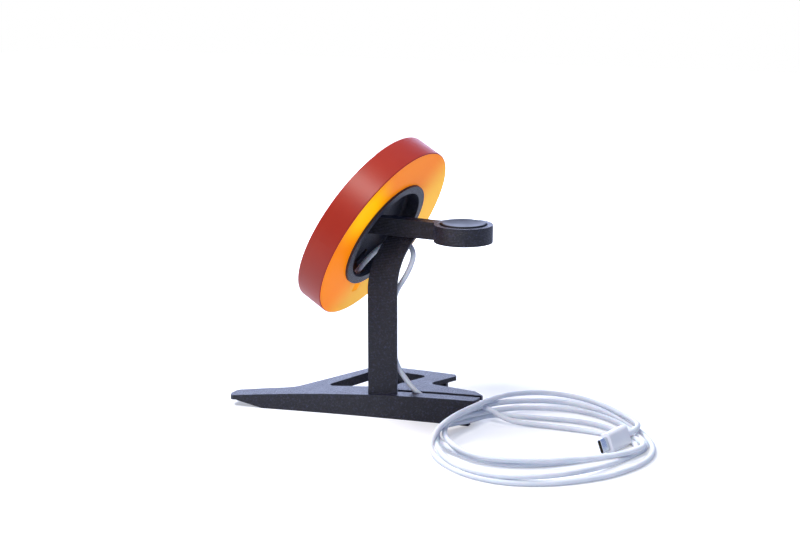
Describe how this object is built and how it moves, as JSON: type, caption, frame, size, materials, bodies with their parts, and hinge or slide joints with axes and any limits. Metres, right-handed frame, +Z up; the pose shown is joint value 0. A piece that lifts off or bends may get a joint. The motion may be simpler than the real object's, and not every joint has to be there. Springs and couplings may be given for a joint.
{
  "type": "phone and watch charging stand",
  "caption": "Black printed desk stand with an amber disc that holds a magnetic phone charger, a ring for a watch charger, and a white charging cable coiled behind it.",
  "frame": {"origin": "on the table, under the middle of the stand's length and width (cable left out)", "axes": "+Z up; -Y towards the phone side; +Y towards the watch side; +X the side of the strap's foot"},
  "size_m": [0.1562, 0.2695, 0.1724],
  "materials": {
    "stand": "fine grained black print",
    "amber": "translucent amber, frosted rim",
    "metal": "satin",
    "white": "smooth white",
    "cord": "smooth white sheath",
    "steel": "plain",
    "magnet": "bright plated",
    "board": "green laminate",
    "ferrite": "dark sintered",
    "copper": "enamelled copper winding",
    "dark": "satin black"
  },
  "bodies": {
    "root": {"base": "stand", "upright": "stand", "disc": "amber", "puck_shell": "metal", "puck_face": "white", "puck_yoke": "steel", "puck_magnets": "magnet", "puck_board": "board", "puck_ferrite": "ferrite", "puck_coil": "copper", "cable_relief": "cord", "cable_run": "cord", "cable_coil": "cord", "cable_tail": "cord", "plug_relief": "cord", "plug_housing": "white", "plug_mouth": "steel", "plug_contacts": "dark", "watch_housing": "dark", "watch_face": "dark", "watch_board": "board", "watch_carrier": "dark", "watch_ferrite": "ferrite", "watch_coil": "copper", "watch_magnet": "magnet"}
  },
  "joints": []
}
